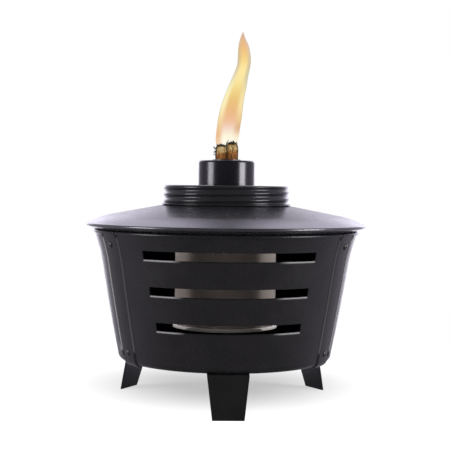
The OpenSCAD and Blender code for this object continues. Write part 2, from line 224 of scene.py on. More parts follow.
def rounded(corners, arc_steps=4):
    """A closed outline whose corners (r, z, radius) are rounded; a radius of 0 keeps the point."""
    outline = []
    for i, (r, z, radius) in enumerate(corners):
        here = Vector((r, z))
        before = Vector(corners[i - 1][:2]) - here
        after = Vector(corners[(i + 1) % len(corners)][:2]) - here
        if radius == 0:
            outline.append((r, z))
            continue
        turn = before.angle(after)
        reach = min(radius / math.tan(turn / 2), 0.48 * before.length, 0.48 * after.length)
        start = here + before.normalized() * reach
        end = here + after.normalized() * reach
        for t in between(0, 1, arc_steps):
            point = start * (1 - t) ** 2 + here * 2 * t * (1 - t) + end * t ** 2
            outline.append((point.x, point.y))
    return outline


def plain(points):
    """Outline points that need no rounding."""
    return [(r, z, 0) for r, z in points]


def arc(mid_r, mid_z, radius, start, end, steps):
    """Points round a centre, with angles in degrees from +r towards +z."""
    return [(mid_r + radius * math.cos(math.radians(a)), mid_z + radius * math.sin(math.radians(a)))
            for a in between(start, end, steps)]


def loft(loops, wrap):
    """Vertices and faces that join closed loops of equal length. Unwrapped ends are capped."""
    size = len(loops[0])
    verts = [p for loop in loops for p in loop]
    faces = []
    for i in range(len(loops) if wrap else len(loops) - 1):
        a, b = i * size, (i + 1) % len(loops) * size
        for j in range(size):
            k = (j + 1) % size
            faces.append((a + j, a + k, b + k, b + j))
    if not wrap:
        faces += [tuple(range(size))[::-1], tuple((len(loops) - 1) * size + j for j in range(size))]
    return verts, faces


def lathe(outline, segments=SEGMENTS):
    """Revolves a closed outline of (r, z) round the axis."""
    return loft([[polar(r, 360 * i / segments, z) for r, z in outline] for i in range(segments)], True)


def turned(outline):
    """Revolves corners (r, z, radius) that change with the angle, given by a function of it."""
    angles = [360 * i / SEGMENTS for i in range(SEGMENTS)]
    return loft([[polar(r, angle, z) for r, z in rounded(outline(angle))] for angle in angles], True)


def merged(*parts):
    """Several vertex and face lists as one."""
    verts, faces = [], []
    for part_verts, part_faces in parts:
        shift = len(verts)
        verts += part_verts
        faces += [tuple(v + shift for v in face) for face in part_faces]
    return verts, faces


def placed(part, matrix):
    """Vertices and faces moved by a matrix."""
    verts, faces = part
    return [matrix @ Vector(v) for v in verts], faces


def added(name, data):
    """An object in the scene."""
    obj = bpy.data.objects.new(name, data)
    scene.collection.objects.link(obj)
    return obj


def build(name, part, slot, body, nodes=(), closed=True):
    """Makes a smooth-shaded piece that rides on a body and may stand for CAD nodes."""
    verts, faces = part
    mesh = bpy.data.meshes.new(name)
    mesh.from_pydata([tuple(Vector(v) * MM) for v in verts], [], faces)
    bm = bmesh.new()
    bm.from_mesh(mesh)
    bmesh.ops.remove_doubles(bm, verts=bm.verts, dist=1e-7)
    bmesh.ops.dissolve_degenerate(bm, edges=bm.edges, dist=1e-8)
    if closed:
        bmesh.ops.recalc_face_normals(bm, faces=bm.faces)
    bm.to_mesh(mesh)
    bm.free()
    mesh.polygons.foreach_set("use_smooth", [True] * len(mesh.polygons))
    mesh.materials.append(MATERIALS[slot])
    piece = added(name, mesh)
    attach(piece, body)
    if nodes:
        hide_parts(*nodes)
    return piece


def bevelled(piece, width, segments=2):
    """Rounds the sharp edges of a piece."""
    bevel = piece.modifiers.new("bevel", "BEVEL")
    bevel.width = width * MM
    bevel.segments = segments
    bevel.limit_method = "ANGLE"
    bevel.angle_limit = math.radians(40)
    return weighted(piece)


def weighted(piece):
    """Keeps large faces flat next to small roundings."""
    normals = piece.modifiers.new("normals", "WEIGHTED_NORMAL")
    normals.weight = 80
    return piece


# -------- materials
# near-black colour of painted shade
SHADE_BLACK = 0.0015
ENAMEL_TINT = (0.95, 0.93, 1, 1)


def rgba(value):
    """The four channels of a colour or of a plain number; a socket stays a socket."""
    if isinstance(value, tuple):
        return (*value, 1)
    return (value, value, value, 1) if isinstance(value, (int, float)) else value


class Nodes:
    """Short calls that add nodes to a material or to the world."""

    def __init__(self, tree):
        self.tree = tree

    def node(self, kind, **settings):
        node = self.tree.nodes.new("ShaderNode" + kind)
        for key, value in settings.items():
            setattr(node, key, value)
        return node

    def put(self, source, socket):
        """Links a socket to its source, or sets its value."""
        if isinstance(source, bpy.types.NodeSocket):
            self.tree.links.new(source, socket)
        else:
            socket.default_value = source

    def feed(self, node, *sources):
        """Puts sources in a node's first inputs; gives its first output, if it has one."""
        for socket, source in zip(node.inputs, sources):
            self.put(source, socket)
        return node.outputs[0] if node.outputs else None

    def fill(self, node, **sources):
        """Puts sources in a node's named inputs, with _ for each space."""
        for name, source in sources.items():
            self.put(source, node.inputs[name.replace("_", " ")])

    def math(self, operation, *sources):
        return self.feed(self.node("Math", operation=operation), *sources)

    def product(self, *sources):
        """All the sources multiplied."""
        return functools.reduce(lambda a, b: self.math("MULTIPLY", a, b), sources)

    def most(self, *sources):
        """The largest of the sources."""
        return functools.reduce(lambda a, b: self.math("MAXIMUM", a, b), sources)

    def split(self, vector):
        """The x, y and z of a vector."""
        parts = self.node("SeparateXYZ")
        self.feed(parts, vector)
        return list(parts.outputs)

    def mix(self, factor, a, b, blend="MIX"):
        mix = self.node("Mix", data_type="RGBA", blend_type=blend)
        self.fill(mix, Factor=factor, A=rgba(a), B=rgba(b))
        return mix.outputs["Result"]

    def ramp(self, source, stops):
        """Colours, or single numbers, at places from 0 to 1."""
        ramp = self.node("ValToRGB")
        elements = ramp.color_ramp.elements
        while len(elements) < len(stops):
            elements.new(0.5)
        for element, (place, value) in zip(elements, stops):
            element.position = place
            element.color = rgba(value)
        self.fill(ramp, Fac=source)
        return ramp.outputs["Color"]

    def ray_masks(self):
        """1 for glossy rays, and 1 for rays that come straight from the camera or through the flame."""
        rays = self.node("LightPath").outputs
        return rays["Is Glossy Ray"], self.most(rays["Is Camera Ray"], rays["Is Transmission Ray"])


def bare_material(name):
    """An empty material, and the calls that fill it."""
    material = bpy.data.materials.new(name)
    material.use_nodes = True
    material.node_tree.nodes.clear()
    return material, Nodes(material.node_tree)


class Shader(Nodes):
    """A Principled material, varied by nodes."""

    def __init__(self, name, **values):
        self.material = bpy.data.materials.new(name)
        self.material.use_nodes = True
        super().__init__(self.material.node_tree)
        self.bsdf = self.tree.nodes["Principled BSDF"]
        self.position = self.node("TexCoord").outputs["Object"]
        self.surface(**values)

    def surface(self, **sources):
        """Puts sources in the Principled node's inputs; gives the material."""
        self.fill(self.bsdf, **sources)
        return self.material

    def noise(self, size, detail=2, stretch=None):
        """Noise with features of about size millimetres, stretched along (x, y, z) if given."""
        source = self.position
        if stretch:
            mapping = self.node("Mapping")
            self.fill(mapping, Vector=source, Scale=stretch)
            source = mapping.outputs["Vector"]
        texture = self.node("TexNoise")
        self.fill(texture, Vector=source, Scale=1 / (size * MM), Detail=detail)
        return texture.outputs["Fac"]

    def patches(self, size, detail, low, high, start=0.3):
        """Two levels or colours in soft patches of about size millimetres."""
        return self.ramp(self.noise(size, detail), [(start, low), (1 - start, high)])

    def bump(self, source, depth):
        """Relief of about depth millimetres."""
        bump = self.node("Bump")
        self.fill(bump, Height=source, Distance=depth * MM, Strength=1)
        self.surface(Normal=bump.outputs["Normal"])

    def paint_shade(self, where, paint, gloss):
        """Paints shade where a mask is 1: a dull finish without gloss; gives the colour of the paint,
        near-black there as painted shade.
        """
        self.surface(Roughness=self.mix(where, gloss, 0.85), Specular_IOR_Level=self.mix(where, 0.5, 0))
        return self.mix(where, paint, SHADE_BLACK)

    def out_of_wall(self):
        """How far the surface faces out of the bowl: 1 on the wall's outside, 0 on its edges, -1 inside."""
        x, y, _ = self.split(self.position)
        out_x, out_y, out_z = self.split(self.node("NewGeometry").outputs["Normal"])
        radius = self.math("SQRT", self.math("ADD", self.product(x, x), self.product(y, y)))
        across = self.math("ADD", self.product(x, out_x), self.product(y, out_y))
        return self.math("SUBTRACT", self.product(self.math("DIVIDE", across, radius), math.cos(WALL_LEAN)),
                         self.product(out_z, math.sin(WALL_LEAN)))


def bowl_enamel():
    """Satin black outside; painted shade inside the bowl; painted highlights, pale, along the rounded
    edges, the joggles, the lap's edge and under the slots beside the canister; painted shadow beyond the
    lap's edge and under the slots in front of the canister.
    """
    shader = Shader("bowl_enamel", IOR=1.5, Specular_Tint=ENAMEL_TINT)
    x, y, z = shader.split(shader.position)
    on_wall = shader.out_of_wall()
    angle = shader.math("ABSOLUTE", shader.math("ARCTAN2", x, shader.product(y, -1.0)))
    turn = shader.math("DIVIDE", angle, math.pi)
    height = shader.math("DIVIDE", z, LIP_Z * MM)

    def at_heights(stops):
        return shader.ramp(height, [(mm / LIP_Z, level) for mm, level in stops])

    def at_angles(stops):
        return shader.ramp(turn, [(degrees / 180, level) for degrees, level in stops])

    wall = at_heights([(BASE_Z + 9, 0.0), (BASE_Z + 11, 1.0), (LIP_Z - 4, 1.0), (LIP_Z - 2.5, 0.0)])
    # below each slot: a pale painted highlight beside the canister, and painted shade in front of it
    under_slots = at_heights([(middle - SLOT_H / 2 + dz, level) for middle in SLOT_HEIGHTS
                              for dz, level in ((-1.0, 0.0), (-0.4, 0.5), (0.7, 0.5), (0.8, 0.0))])
    slope = math.radians(SLOT_HALF_ANGLES[1] - SLOT_HALF_ANGLES[0]) / (SLOT_PITCH * MM)
    reach = shader.math("ADD", shader.product(z, slope),
                        math.radians(SLOT_HALF_ANGLES[0]) - slope * SLOT_LOW_Z * MM)
    below = shader.product(under_slots, shader.math("LESS_THAN", angle, reach))
    beside = at_angles([(21, 0.0), (26, 1.0)])
    slot_line = shader.product(below, beside, shader.math("GREATER_THAN", on_wall, -0.3))
    shaded = shader.product(below, shader.math("SUBTRACT", 1.0, beside))
    # painted highlights along the rounded edges, the joggles and the lap's edge, and a painted shadow just
    # beyond the lap's edge
    lap = -SEAM_LEFT + LAP_ANGLE / 2
    joggle = shader.ramp(on_wall, [(0.0, 0.0), (0.08, 0.0), (0.3, 0.2),
                                   (0.6, 0.2), (0.93, 0.0), (1.0, 0.0)])
    lap_line = at_angles([(lap - 0.62, 0.0), (lap - 0.5, 0.55), (lap + 0.25, 0.55), (lap + 0.4, 0.0)])
    lap_shadow = at_angles([(lap + 0.3, 0.0), (lap + 0.5, 1.0), (lap + 1.7, 1.0), (lap + 2.4, 0.0)])
    # painted highlights: pale lines where light catches these edges
    painted_highlight = shader.most(slot_line, shader.product(shader.most(joggle, lap_line), wall))
    # painted shade: dark and dull inside the bowl, under the slots in front of the canister, and beyond the
    # lap's edge
    dull = shader.most(shader.math("LESS_THAN", on_wall, -0.05), shaded, shader.product(wall, lap_shadow))
    paint = shader.patches(16, 3, (0.006, 0.0054, 0.006), (0.008, 0.0072, 0.0078))
    paint_with_shade = shader.paint_shade(dull, paint, shader.patches(5, 4, 0.24, 0.31, 0.25))
    return shader.surface(Base_Color=shader.mix(painted_highlight, paint_with_shade, (0.38, 0.36, 0.38)))


def rivet_paint():
    """Painted rivets; inside the bowl, darker and bare of gloss as painted shade."""
    shader = Shader("rivet_paint", IOR=1.5)
    inside = shader.math("LESS_THAN", shader.out_of_wall(), -0.3)
    paint = shader.patches(3, 3, (0.01, 0.01, 0.011), (0.018, 0.018, 0.02))
    return shader.surface(Base_Color=shader.paint_shade(inside, paint, shader.patches(5, 4, 0.25, 0.32, 0.25)))


def enamel(name, dark, light, roughness, ior, peel):
    """Satin black enamel: uneven gloss, faint mottling and orange peel."""
    shader = Shader(name, IOR=ior, Specular_Tint=ENAMEL_TINT)
    shader.bump(shader.noise(1.1, 2), peel)
    return shader.surface(Base_Color=shader.patches(16, 3, dark, light),
                          Roughness=shader.patches(5, 4, roughness - 0.03, roughness + 0.04, 0.25))


def tinplate(name, dark, light, roughness):
    """Lacquered tin: warm grey, rolled round the can, with faint streaks."""
    shader = Shader(name, Metallic=0.7, IOR=1.5)
    streaks = shader.noise(1.5, 2, stretch=(0.06, 0.06, 1))
    return shader.surface(Base_Color=shader.ramp(streaks, [(0.2, dark), (0.8, light)]),
                          Roughness=shader.patches(14, 2, roughness, roughness + 0.04))


def tube_steel():
    """Satin steel, browned by heat in patches."""
    shader = Shader("tube_steel", Metallic=1.0)
    shader.bump(shader.noise(0.8, 2), 0.01)
    return shader.surface(Base_Color=shader.patches(4, 4, (0.2, 0.18, 0.165), (0.32, 0.31, 0.3), 0.35),
                          Roughness=shader.patches(1.5, 3, 0.32, 0.48))


def gasket_rubber():
    """Dull oil-proof rubber with a fine grain."""
    shader = Shader("gasket_rubber")
    shader.bump(shader.noise(0.5, 3), 0.03)
    return shader.surface(Base_Color=shader.patches(3, 4, (0.03, 0.027, 0.026), (0.05, 0.045, 0.043)),
                          Roughness=shader.patches(1, 3, 0.7, 0.85))


def wick_fibre():
    """Fibre streaked olive, gold, brown and rust; charred round the top, and darker up the outer sides and
    along the cleft between the lobes.
    """
    shader = Shader("wick_fibre", Roughness=0.85, IOR=1.4)
    x, _, z = shader.split(shader.position)
    streaks = shader.noise(0.9, 3, stretch=(1, 1, 0.3))
    gold = shader.ramp(streaks, [(0.32, (0.07, 0.035, 0.01)), (0.46, (0.22, 0.135, 0.045)),
                                 (0.6, (0.4, 0.29, 0.13)), (0.75, (0.56, 0.47, 0.3))])
    rust = shader.ramp(streaks, [(0.3, (0.03, 0.014, 0.004)), (0.45, (0.12, 0.045, 0.01)),
                                 (0.6, (0.26, 0.1, 0.02)), (0.75, (0.36, 0.22, 0.08))])
    top = shader.math("MULTIPLY_ADD", shader.math("GREATER_THAN", x, 0.0), WICK_LOW_STRAND * MM,
                      (WICK_TOP_Z - WICK_LOW_STRAND) * MM)
    depth = shader.math("DIVIDE", shader.math("SUBTRACT", top, z), 16 * MM)
    ragged = shader.math("MULTIPLY_ADD", shader.noise(2.4, 3), 0.24, shader.math("SUBTRACT", depth, 0.12))
    off_middle = shader.math("DIVIDE", shader.math("ABSOLUTE", x), 10 * MM)
    side = shader.math("ADD", off_middle, shader.product(ragged, -0.12))
    # charred near each strand's top; darker up the outer sides and along the cleft between the lobes
    darkened = shader.most(shader.ramp(ragged, [(0.09, 1.0), (0.16, 0.0)]),
                          shader.ramp(side, [(0.66, 0.0), (0.73, 0.95)]),
                          shader.ramp(off_middle, [(0.02, 0.7), (0.07, 0.0)]))
    above = shader.math("GREATER_THAN", z, RIM_TOP_Z * MM)
    clean = shader.mix(shader.ramp(ragged, [(0.3, 0.0), (0.5, 1.0)]), gold, rust)
    shader.bump(shader.noise(0.5, 3, stretch=(1, 1, 0.3)), 0.15)
    darkened = shader.product(above, darkened)
    return shader.surface(Base_Color=shader.mix(darkened, clean, (0.006, 0.005, 0.004)))


MATERIALS = {
    "bowl_enamel": bowl_enamel(),
    "cover_enamel": enamel("cover_enamel", (0.009, 0.009, 0.0105), (0.012, 0.012, 0.014), 0.24, 2.3, 0.002),
    "cap_enamel": enamel("cap_enamel", (0.007, 0.007, 0.0078), (0.0095, 0.0092, 0.0105), 0.24, 1.6, 0.005),
    "guard_enamel": enamel("guard_enamel", (0.0028, 0.0026, 0.0034), (0.0035, 0.0032, 0.0042),
                           0.2, 1.65, 0.003),
    "leg_paint": enamel("leg_paint", (0.004, 0.004, 0.0042), (0.006, 0.006, 0.0062), 0.5, 1.25, 0.02),
    "rivet_paint": rivet_paint(),
    "tinplate": tinplate("tinplate", (0.4, 0.335, 0.3), (0.43, 0.365, 0.33), 0.36),
    "tube_steel": tube_steel(),
    "gasket_rubber": gasket_rubber(),
    "wick_fibre": wick_fibre(),
}


# -------- bowl
def wall_r(z):
    """Outer radius of the bowl's wall at a height."""
    if z <= WAIST_Z:
        line = FOOT_R + (WAIST_R - FOOT_R) * (z - FOOT_Z) / STRAIGHT_H
        return line + 4 * BELLY * (z - FOOT_Z) * (WAIST_Z - z) / STRAIGHT_H ** 2
    return WAIST_R + WAIST_SLOPE * (z - WAIST_Z) + FLARE_OUT * ((z - WAIST_Z) / FLARE_H) ** 2


LIP_MID_R = wall_r(LIP_Z) - WALL_T / 2


def side_line():
    """Rows of the sheet's outside as (r, z, outward normal): flange, corner, wall and flare."""
    rows = [(r, BASE_Z, Vector((0, -1))) for r in between(FLANGE_IN_R, FOOT_R - CORNER_R, 4)[:-1]]
    for a in between(-90, 0, 8)[:-1]:
        out = Vector((math.cos(math.radians(a)), math.sin(math.radians(a))))
        rows.append((FOOT_R - CORNER_R + CORNER_R * out.x, FOOT_Z + CORNER_R * out.y, out))
    edges = [z + side * SLOT_H / 2 for z in SLOT_HEIGHTS for side in (-1, 1)]
    for z in stations([FOOT_Z, *edges, LIP_Z], ROW_STEP):
        lean = wall_r(z + 0.5) - wall_r(z - 0.5)
        rows.append((wall_r(z), z, Vector((1, -lean)).normalized()))
    return rows


def in_slot(angle, z):
    """Whether a place on a panel, at an angle from its middle, is open."""
    return any(abs(z - middle) < SLOT_H / 2 and abs(angle) < half
               for middle, half in zip(SLOT_HEIGHTS, SLOT_HALF_ANGLES))


def hem(angle):
    """Rounded edge of a panel that laps its neighbour."""
    across, out = polar(1, angle + 90, 0), polar(1, angle, 0)
    loops = []
    for z in between(FOOT_Z + 1, LIP_Z - 0.4, 40):
        centre = polar(wall_r(z) + LAP_STEP - HEM_SUNK, angle, z)
        loops.append([centre + HEM_R * (across * c + out * h) for c, h in arc(0, 0, 1, 0, 330, 11)])
    return loft(loops, False)


def panel_columns(first, last, lap_first, lap_last):
    """Angles across a panel, close together where it is joggled."""
    breaks = [first, first + JOGGLE_ANGLE, last - JOGGLE_ANGLE, last]
    breaks += [side * half for side in (-1, 1) for half in SLOT_HALF_ANGLES]
    close = []
    if lap_first:
        breaks.append(first - LAP_ANGLE)
        close += between(first, first + JOGGLE_ANGLE, JOGGLE_STEPS)
    if lap_last:
        breaks.append(last + LAP_ANGLE)
        close += between(last - JOGGLE_ANGLE, last, JOGGLE_STEPS)
    return sorted({round(angle, 5) for angle in stations(sorted(breaks), PANEL_STEP) + close})


def panel(name, middle, lap_first, lap_last):
    """One wall panel, with an edge joggled out over its neighbour where it laps."""
    lap_half = LAP_ANGLE / 2
    first = lap_half - PANEL_HALF if lap_first else EDGE_GAP_ANGLE - lap_half - PANEL_HALF
    last = PANEL_HALF - lap_half if lap_last else PANEL_HALF + lap_half - EDGE_GAP_ANGLE
    edges = ((lap_first, first - LAP_ANGLE), (lap_last, last + LAP_ANGLE))

    def shift(angle):
        """How far the sheet is joggled out."""
        past_first = (first + JOGGLE_ANGLE - angle) / JOGGLE_ANGLE if lap_first else 0
        past_last = (angle - last + JOGGLE_ANGLE) / JOGGLE_ANGLE if lap_last else 0
        return LAP_STEP * smoothstep(max(past_first, past_last))

    columns = panel_columns(first, last, lap_first, lap_last)
    rows = side_line()
    verts = []
    for angle in columns:
        out = shift(angle)
        verts += [polar(r + n.x * out, middle + angle, z + n.y * out) for r, z, n in rows]
    faces = []
    size = len(rows)
    for i in range(len(columns) - 1):
        angle = (columns[i] + columns[i + 1]) / 2
        for j in range(size - 1):
            r = (rows[j][0] + rows[j + 1][0]) / 2
            z = (rows[j][1] + rows[j + 1][1]) / 2
            if in_slot(angle, z) or (shift(angle) > 0 and r < FOOT_R - CORNER_R):
                continue
            a, b = i * size + j, (i + 1) * size + j
            faces.append((a, b, b + 1, a + 1))
    sheet = build(name + "_sheet", (verts, faces), "bowl_enamel", "bowl", [name], closed=False)
    solidify = sheet.modifiers.new("sheet", "SOLIDIFY")
    solidify.thickness = WALL_T * MM
    solidify.offset = -1
    solidify.use_even_offset = True
    bevelled(sheet, PANEL_EDGE_R, 3)

    roll = arc(LIP_MID_R, LIP_Z, LIP_R, 0, LIP_TURN, 23)
    lip = [[polar(r, middle + angle, z) for r, z in roll] for angle in between(first, last, 96)]
    weighted(build(name + "_lip", loft(lip, False), "bowl_enamel", "bowl"))
    hems = [hem(middle + edge) for laps, edge in edges if laps]
    if hems:
        build(name + "_hem", merged(*hems), "bowl_enamel", "bowl")


def on_wall(seam, z):
    """Matrix that puts z = 0 on the wall's outside, with +Z out of it."""
    lean = math.atan(wall_r(z + 0.5) - wall_r(z - 0.5))
    turn = Matrix.Rotation(math.radians(seam), 4, "Z")
    return turn @ Matrix.Translation((0, -wall_r(z), z)) @ Matrix.Rotation(math.pi / 2 + lean, 4, "X")


def dome(base, height, radius):
    """Outline points of a rivet's head, from its edge to its top."""
    ball = (radius ** 2 + height ** 2) / (2 * height)
    edge = math.degrees(math.asin((ball - height) / ball))
    return [(r, base + z) for r, z in arc(0, height - ball, ball, edge + 6, 90, 8)]


def rivet(head_base, tail_base, tail_outline):
    """A rivet on its own axis: a domed head, the shank, and the tail's outline from its middle outwards."""
    outline = plain(tail_outline) + [(SHANK_R, tail_base, 0), (SHANK_R, head_base, 0),
                                     (RIVET_HEAD_R, head_base, 0.1)]
    return lathe(rounded(outline + plain(dome(head_base, RIVET_HEAD_H, RIVET_HEAD_R))), RIVET_SEGMENTS)


def seam_rivets(name, seam):
    """The rivets down one seam, domed outside and pressed flat inside."""
    upset = RIVET_HEAD_H / 2
    tail = -WALL_T - 2 * SEAT_GAP - upset
    flat_end = [(0, tail), (RIVET_HEAD_R - 0.4, tail), (RIVET_HEAD_R - 0.2, tail + 0.2),
                (RIVET_HEAD_R - 0.2, tail + upset)]
    one = rivet(LAP_STEP + SEAT_GAP, tail + upset, flat_end)
    build(name + "_heads", merged(*[placed(one, on_wall(seam, z)) for z in SEAM_RIVET_HEIGHTS]),
          "rivet_paint", "bowl", [name])


def leg_rivets(name, angle):
    """The two rivets through a leg's tab and the bowl's floor, domed at both ends."""
    low = TAB_TOP_Z - LEG_T - SEAT_GAP
    high = BASE_Z + 2 * WALL_T + 2 * SEAT_GAP
    under = [(r, 2 * low - z) for r, z in reversed(dome(low, RIVET_HEAD_H, RIVET_HEAD_R))]
    one = rivet(high, low, under + [(RIVET_HEAD_R, low)])
    turn = Matrix.Rotation(math.radians(angle), 4, "Z")
    pair = [placed(one, turn @ Matrix.Translation((side * LEG_RIVET_GAP / 2, -LEG_RIVET_R, 0)))
            for side in (-1, 1)]
    build(name + "_heads", merged(*pair), "rivet_paint", "bowl", [name])


def leg(name, angle):
    """A leg bent from one strip: the tab under the floor, and the splayed plate."""
    slope = LEG_SPLAY / TAB_TOP_Z
    plate = LEG_T * math.sqrt(1 + slope ** 2)
    foot_r = LEG_BEND_R + LEG_SPLAY
    tab_z = TAB_TOP_Z - LEG_T
    corners = [(FLANGE_IN_R, tab_z, 0.2), (FLANGE_IN_R, TAB_TOP_Z, 0.2), (LEG_BEND_R, TAB_TOP_Z, 1.8),
               (foot_r, 0, 0.15), (foot_r - plate, 0, 0.15), (foot_r - slope * tab_z - plate, tab_z, 0.6)]

    def width(z):
        return LEG_FOOT_W + (LEG_TOP_W - LEG_FOOT_W) * min(1, z / tab_z)

    outline = rounded(corners, 6)
    loops = [[(side * width(z) / 2, -r, z) for r, z in outline] for side in (-1, 1)]
    part = placed(loft(loops, False), Matrix.Rotation(math.radians(angle), 4, "Z"))
    bevelled(build(name + "_plate", part, "leg_paint", "bowl", [name]), 0.2)


panel("front_panel", 0, True, True)
panel("left_rear_panel", -120, True, False)
panel("right_rear_panel", 120, False, False)
for seam_name, seam_angle in (("front_left", SEAM_LEFT), ("front_right", SEAM_RIGHT), ("rear", SEAM_REAR)):
    seam_rivets(seam_name + "_rivets", seam_angle)
for side_name, side_angle in (("front", 0), ("left", -120), ("right", 120)):
    leg(side_name + "_leg", side_angle)
    leg_rivets(side_name + "_leg_rivets", side_angle)


# -------- cover
def brim_under_z(r):
    """Height of the brim's underside, which lies on the bowl's lip."""
    return LIP_Z + (LIP_R + SEAT_GAP) * math.sqrt(1 + BRIM_SLOPE ** 2) + BRIM_SLOPE * (r - LIP_MID_R)


def cover_z(r):
    """Height of the cover's top at a radius."""
    if r <= SEAT_R:
        return CROWN_Z
    drop = COVER_DROP * max(0, (r - BRIM_MID_R + COVER_TURN_W) / COVER_TURN_W) ** 2
    return CROWN_Z - COVER_SLOPE * (r - SEAT_R) - drop


def cover():
    """Seat round the hole, cone, brim with a rolled edge, turned-under flange and centring lip."""
    brim_z = cover_z(BRIM_MID_R) - BRIM_BEAD_R
    centring_r = wall_r(CENTRING_Z) - WALL_T - 2 * SEAT_GAP - 0.6
    lip_in_r = centring_r - COVER_T
    fold_r = BRIM_MID_R - 2 * BRIM_BEAD_R
    radii = stations([SEAT_R + 1.5, BRIM_MID_R - COVER_TURN_W, BRIM_MID_R], 2)
    top = plain((r, cover_z(r)) for r in radii)
    under = plain((r, cover_z(r) - COVER_T) for r in reversed(radii[:-2]))
    corners = [(HOLE_R, CROWN_Z - HOLE_EDGE_H, 0.25), (HOLE_R, CROWN_Z, 0.9), (SEAT_R, CROWN_Z, 0.6)]
    corners += top[:-1] + plain(arc(BRIM_MID_R, brim_z, BRIM_BEAD_R, 90, -90, 14))
    corners += [(centring_r, brim_under_z(centring_r), 1.0), (centring_r, CENTRING_Z, 0.25),
                (lip_in_r, CENTRING_Z, 0.25), (lip_in_r, brim_under_z(lip_in_r) + COVER_T, 1.0),
                (fold_r, brim_under_z(fold_r) + COVER_T, 0)]
    corners += under + [(SEAT_R, CROWN_Z - COVER_T, 0), (HOLE_R + COVER_T, CROWN_Z - COVER_T, 0.3),
                        (HOLE_R + COVER_T, CROWN_Z - HOLE_EDGE_H, 0.25)]
    shell = lathe(rounded(corners), COVER_SEGMENTS)
    weighted(build("cover_shell", shell, "cover_enamel", "cover", ["cover"]))


cover()


# -------- canister
def canister():
    """The can's wall, and its end with a rolled seam and pressed rings."""
    body = [(CAN_R - CAN_T, CAN_BOTTOM_Z + SEAM_H, 0), (CAN_R, CAN_BOTTOM_Z + SEAM_H, 0),
            (CAN_R, SHOULDER_Z - SEAT_GAP, 0.4), (CAN_R - CAN_T, SHOULDER_Z - SEAT_GAP, 0)]
    weighted(build("can_wall", lathe(rounded(body)), "tinplate", "canister", ["can_body"]))
    inner = 2 * CAN_R - SEAM_R
    panel_z = CAN_BOTTOM_Z + SEAM_H - CAN_T
    tuck_r = CAN_R - CAN_T - SEAT_GAP
    rings = [(r, panel_z - 0.5 * (i % 2), 0.6) for i, r in enumerate((8, 12, 13, 24, 25, 31))]
    base = [(0, panel_z, 0), *rings, (inner, panel_z, 0.8), (inner, CAN_BOTTOM_Z, 0.5),
            (SEAM_R, CAN_BOTTOM_Z, 1.0), (SEAM_R, CAN_BOTTOM_Z + SEAM_H - SEAT_GAP, 1.2),
            (tuck_r, CAN_BOTTOM_Z + SEAM_H - SEAT_GAP, 0),
            (tuck_r, panel_z + CAN_T, 0), (0, panel_z + CAN_T, 0)]
    end = weighted(build("can_end", lathe(rounded(base)), "tinplate", "canister", ["can_base"]))
    # the can's end is lighter, glossier tin than its wall: bare tin at the seam, lightened further so that
    # its glints show as a painted highlight
    end.data.materials[0] = tinplate("seam_tin_highlight", (0.85, 0.79, 0.75), (0.9, 0.85, 0.81), 0.16)


def thread(z, angle, low, high):
    """Height of the rolled thread's wave, from -1 to 1, fading out at both ends."""
    fade = min(smoothstep((z - low) / (RIB_PITCH / 2)), smoothstep((high - z) / (RIB_PITCH / 2)))
    phase = (z - CAP_BOTTOM_Z - CAP_LIP_H) / RIB_PITCH - angle / 360
    return -fade * math.cos(2 * math.pi * phase)


def rib_r(z, angle):
    """Outer radius of the cap's ribs, which climb one pitch in each turn."""
    return CAP_MID_R + RIB_DEPTH / 2 * thread(z, angle, CAP_BOTTOM_Z - 1, LID_TOP_Z + 0.5)


def neck():
    """Shoulder, threaded neck and the skirt rolled into the can's body."""
    skirt_r = CAN_R - CAN_T - SEAT_GAP
    inner = NECK_R - NECK_T
    low, high = SHOULDER_Z + 1.2, NECK_TOP_Z - 0.6
    heights = between(low, high, 44)

    def outline(angle):
        waves = [(z, RIB_DEPTH / 2 * (1 + thread(z, angle, low, high)) * NECK_THREAD_SHARE)
                 for z in heights]
        return [(skirt_r - NECK_T, NECK_SKIRT_Z, 0), (skirt_r, NECK_SKIRT_Z, 0), (skirt_r, SHOULDER_Z, 0.3),
                (NECK_R, SHOULDER_Z, 0.5), *plain((NECK_R + wave, z) for z, wave in waves),
                (NECK_R, NECK_TOP_Z, 0.2), (inner, NECK_TOP_Z, 0.2),
                *plain((inner + wave, z) for z, wave in reversed(waves)),
                (inner, SHOULDER_Z + NECK_T, 0.5), (skirt_r - NECK_T, SHOULDER_Z + NECK_T, 0.5)]

    weighted(build("can_threaded_neck", turned(outline), "tinplate", "canister", ["can_neck"]))


canister()
neck()


# -------- cap and burner
def cap():
    """Screw cap: helical rolled ribs, a thin lip at the bottom and a flat lid."""
    hole = TUBE_R + SLIDE_GAP
    lid_z = LID_TOP_Z - CAP_T
    rib_low, rib_high = CAP_BOTTOM_Z + CAP_LIP_H, LID_TOP_Z - CAP_EDGE_R
    heights = between(rib_low, rib_high, 48)
    lip = arc(CAP_R + CAP_LIP_OUT - 0.3, CAP_BOTTOM_Z + 0.3, 0.3, -90, 90, 6)

    def outline(angle):
        edge_r = rib_r(rib_high, angle) - CAP_EDGE_R
        return [(rib_r(rib_low, angle) - CAP_T, CAP_BOTTOM_Z, 0.15), *plain(lip),
                *plain((rib_r(z, angle), z) for z in heights),
                *plain(arc(edge_r, rib_high, CAP_EDGE_R, 10, 90, 7)),
                (hole, LID_TOP_Z, 0.15), (hole, lid_z, 0.1), (edge_r, lid_z, 0.3),
                *plain((rib_r(z, angle) - CAP_T, z) for z in reversed(heights))]

    weighted(build("cap_shell", turned(outline), "cap_enamel", "cap", ["screw_cap"]))


